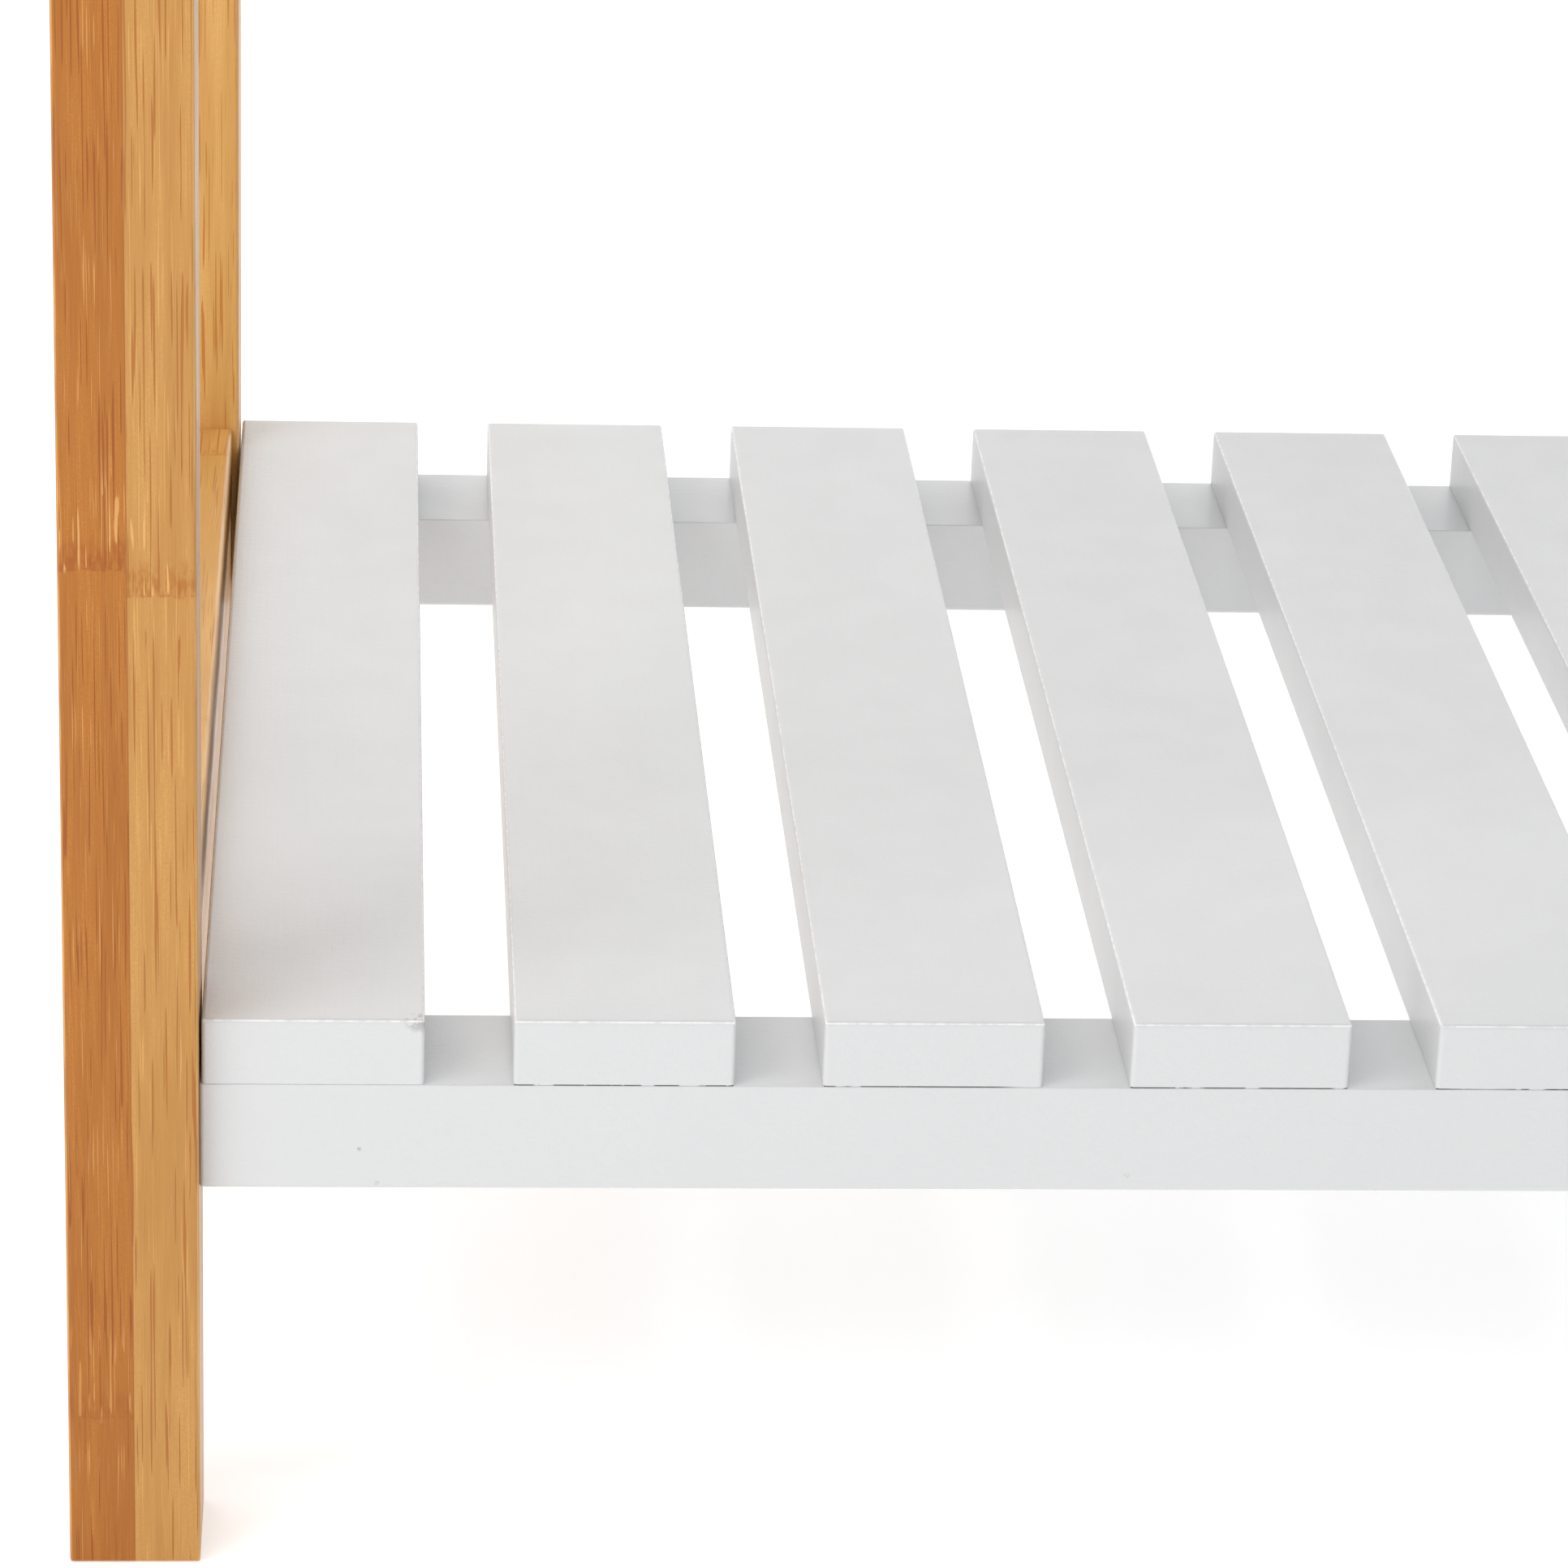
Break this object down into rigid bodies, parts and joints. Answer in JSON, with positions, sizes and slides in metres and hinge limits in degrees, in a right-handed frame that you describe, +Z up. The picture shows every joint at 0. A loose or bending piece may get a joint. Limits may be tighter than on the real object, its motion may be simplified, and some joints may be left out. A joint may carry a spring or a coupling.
{
  "type": "slatted bench",
  "caption": "Entryway bench with square bamboo legs, white painted slats for a seat and a low shoe shelf, bolted together.",
  "frame": {"origin": "on the floor, at the centre of the bench's footprint", "axes": "+X along the bench, +Y to its back, +Z up"},
  "size_m": [0.951, 0.42, 0.45],
  "materials": {
    "bamboo": "laminated bamboo under satin lacquer",
    "white_paint": "satin white paint on wood",
    "zinc_steel": "zinc plated",
    "dowel_wood": "raw beech"
  },
  "bodies": {
    "root": {"leg_front_left": "bamboo", "leg_front_right": "bamboo", "leg_back_left": "bamboo", "leg_back_right": "bamboo", "rung_low_left": "bamboo", "rung_low_right": "bamboo", "rung_top_left": "bamboo", "rung_top_right": "bamboo", "shelf_rail_front": "white_paint", "shelf_rail_back": "white_paint", "seat_rail_front": "white_paint", "seat_rail_back": "white_paint", "shelf_slat_01": "white_paint", "shelf_slat_02": "white_paint", "shelf_slat_03": "white_paint", "shelf_slat_04": "white_paint", "shelf_slat_05": "white_paint", "shelf_slat_06": "white_paint", "shelf_slat_07": "white_paint", "shelf_slat_08": "white_paint", "shelf_slat_09": "white_paint", "shelf_slat_10": "white_paint", "shelf_slat_11": "white_paint", "shelf_slat_12": "white_paint", "shelf_slat_13": "white_paint", "seat_slat_01": "white_paint", "seat_slat_02": "white_paint", "seat_slat_03": "white_paint", "seat_slat_04": "white_paint", "seat_slat_05": "white_paint", "seat_slat_06": "white_paint", "seat_slat_07": "white_paint", "seat_slat_08": "white_paint", "seat_slat_09": "white_paint", "seat_slat_10": "white_paint", "seat_slat_11": "white_paint", "seat_slat_12": "white_paint", "seat_slat_13": "white_paint", "connector_bolts": "zinc_steel", "cross_nuts": "zinc_steel", "rung_dowels": "dowel_wood", "shelf_screws": "zinc_steel", "seat_screws": "zinc_steel"}
  },
  "joints": []
}
